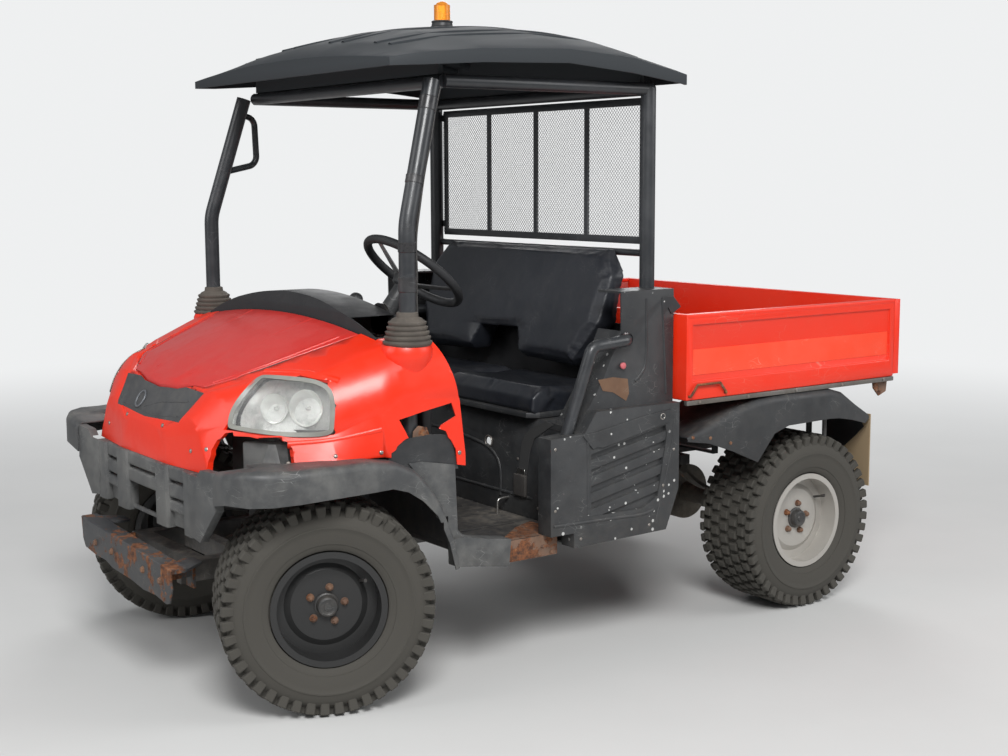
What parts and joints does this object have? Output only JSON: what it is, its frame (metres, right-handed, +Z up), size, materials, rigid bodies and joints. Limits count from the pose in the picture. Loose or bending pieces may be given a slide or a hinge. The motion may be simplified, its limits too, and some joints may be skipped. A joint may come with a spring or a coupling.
{
  "type": "side by side utility vehicle",
  "caption": "Side by side utility vehicle with a moulded roof, two bench seats, a tipping steel cargo bed, steered front wheels and an opening hood",
  "frame": {"origin": "on the floor under the middle of the vehicle", "axes": "+X forward, +Y to the driver's left side, +Z up"},
  "size_m": [2.72, 1.5706, 2.088],
  "materials": {
    "frame_paint": "chipped satin black paint with rust",
    "roof_paint": "satin black tube",
    "orange": "faded moulded-in orange, scuffed",
    "roof_black": "satin black moulding",
    "flap_tan": "mud flap under dry mud",
    "black_plastic": "grained black plastic, dusty",
    "grey_plastic": "faded black plastic",
    "tyre_rubber": "dusty black rubber",
    "rubber": "soft black rubber",
    "rim_black": "satin black with rusty nuts",
    "rim_silver": "silver paint, rusty",
    "steel": "dirty bare steel",
    "iron": "dirty casting",
    "rust": "rusted through black paint",
    "lens": "clear lens with a frosted rim",
    "amber": "amber lens",
    "red_lens": "red lens",
    "seat_fabric": "smooth black seat cover",
    "bed_paint": "faded orange steel, scratched",
    "bed_inner": "worn paint, rust and dust",
    "webbing": "black webbing"
  },
  "bodies": {
    "chassis": {"beacon_base": "black_plastic", "beacon_lens": "amber", "chassis_frame": "frame_paint", "cowl": "black_plastic", "dash_panel": "black_plastic", "drawbar": "frame_paint", "engine_block": "iron", "floor_pan": "frame_paint", "front_axle": "iron", "front_bumper": "frame_paint", "front_fascia": "orange", "front_flares": "grey_plastic", "front_guard": "grey_plastic", "front_posts": "roof_paint", "front_suspension": "steel", "gear_lever": "black_plastic", "grab_handle": "roof_paint", "grille_insert": "black_plastic", "headlamp_left": "lens", "headlamp_right": "lens", "hip_bars": "roof_paint", "mud_flaps": "flap_tan", "parking_brake": "roof_paint", "pedals": "steel", "post_boots": "rubber", "rear_axle": "iron", "rear_fenders": "grey_plastic", "rear_hoop": "roof_paint", "rear_screen": "roof_paint", "rockers": "rust", "roof": "roof_black", "seat_back": "seat_fabric", "seat_base": "black_plastic", "seat_belt": "webbing", "seat_cushion_driver": "seat_fabric", "seat_cushion_passenger": "seat_fabric", "side_panel_left": "black_plastic", "side_panel_right": "black_plastic", "steering_column": "black_plastic", "tail_lamps": "red_lens"},
    "hood": {"hood": "orange"},
    "knuckle_left": {"knuckle_left": "iron"},
    "knuckle_right": {"knuckle_right": "iron"},
    "wheel_front_left": {"tyre_front_left": "tyre_rubber", "rim_front_left": "rim_black"},
    "wheel_front_right": {"tyre_front_right": "tyre_rubber", "rim_front_right": "rim_black"},
    "wheel_rear_left": {"tyre_rear_left": "tyre_rubber", "rim_rear_left": "rim_silver"},
    "wheel_rear_right": {"tyre_rear_right": "tyre_rubber", "rim_rear_right": "rim_silver"},
    "steering_wheel": {"steering_wheel": "rubber"},
    "tie_bar": {"tie_bar": "steel"},
    "cargo_bed": {"bed_floor": "bed_inner", "bed_walls": "bed_paint", "bed_loops": "roof_paint"},
    "tailgate": {"tailgate": "bed_paint"}
  },
  "joints": [
    {"name": "steer_left", "type": "hinge", "parent": "chassis", "child": "knuckle_left", "pos_m": [0.955, 0.47, 0.307], "axis": [0, 0, 1], "range_deg": [-12, 52]},
    {"name": "steer_right", "type": "hinge", "parent": "chassis", "child": "knuckle_right", "pos_m": [0.955, -0.47, 0.307], "axis": [0, 0, 1], "range_deg": [-12, 52]},
    {"name": "roll_front_left", "type": "hinge", "parent": "knuckle_left", "child": "wheel_front_left", "pos_m": [0.99091, 0.56867, 0.30747], "axis": [0.342, 0.9397, 0], "continuous": true},
    {"name": "roll_front_right", "type": "hinge", "parent": "knuckle_right", "child": "wheel_front_right", "pos_m": [0.91909, -0.56867, 0.30747], "axis": [0.342, 0.9397, 0], "continuous": true},
    {"name": "roll_rear_left", "type": "hinge", "parent": "chassis", "child": "wheel_rear_left", "pos_m": [-0.865, 0.6, 0.30747], "axis": [0, 1, 0], "continuous": true},
    {"name": "roll_rear_right", "type": "hinge", "parent": "chassis", "child": "wheel_rear_right", "pos_m": [-0.865, -0.6, 0.30747], "axis": [0, 1, 0], "continuous": true},
    {"name": "steering_wheel_turn", "type": "hinge", "parent": "chassis", "child": "steering_wheel", "pos_m": [0.519, 0.324, 1.218], "axis": [-0.6293, 0, 0.7771], "range_deg": [-150, 630]},
    {"name": "tie_bar_slide", "type": "slide", "parent": "chassis", "child": "tie_bar", "axis": [0, 1, 0], "range_m": [-0.0815, 0.0195]},
    {"name": "hood_lift", "type": "hinge", "parent": "chassis", "child": "hood", "pos_m": [0.803, 0, 1.1], "axis": [0, -1, 0], "range_deg": [0, 55]},
    {"name": "bed_tip", "type": "hinge", "parent": "chassis", "child": "cargo_bed", "pos_m": [-1.17, 0, 0.762], "axis": [0, -1, 0], "range_deg": [0, 42]},
    {"name": "tailgate_drop", "type": "hinge", "parent": "cargo_bed", "child": "tailgate", "pos_m": [-1.283, 0, 0.801], "axis": [0, -1, 0], "range_deg": [0, 90]}
  ],
  "couplings": [
    {"joint": "steer_right", "follows": "steer_left", "ratio": 1},
    {"joint": "steering_wheel_turn", "follows": "steer_left", "ratio": 12},
    {"joint": "tie_bar_slide", "follows": "steer_left", "m_per_rad": -0.088}
  ]
}
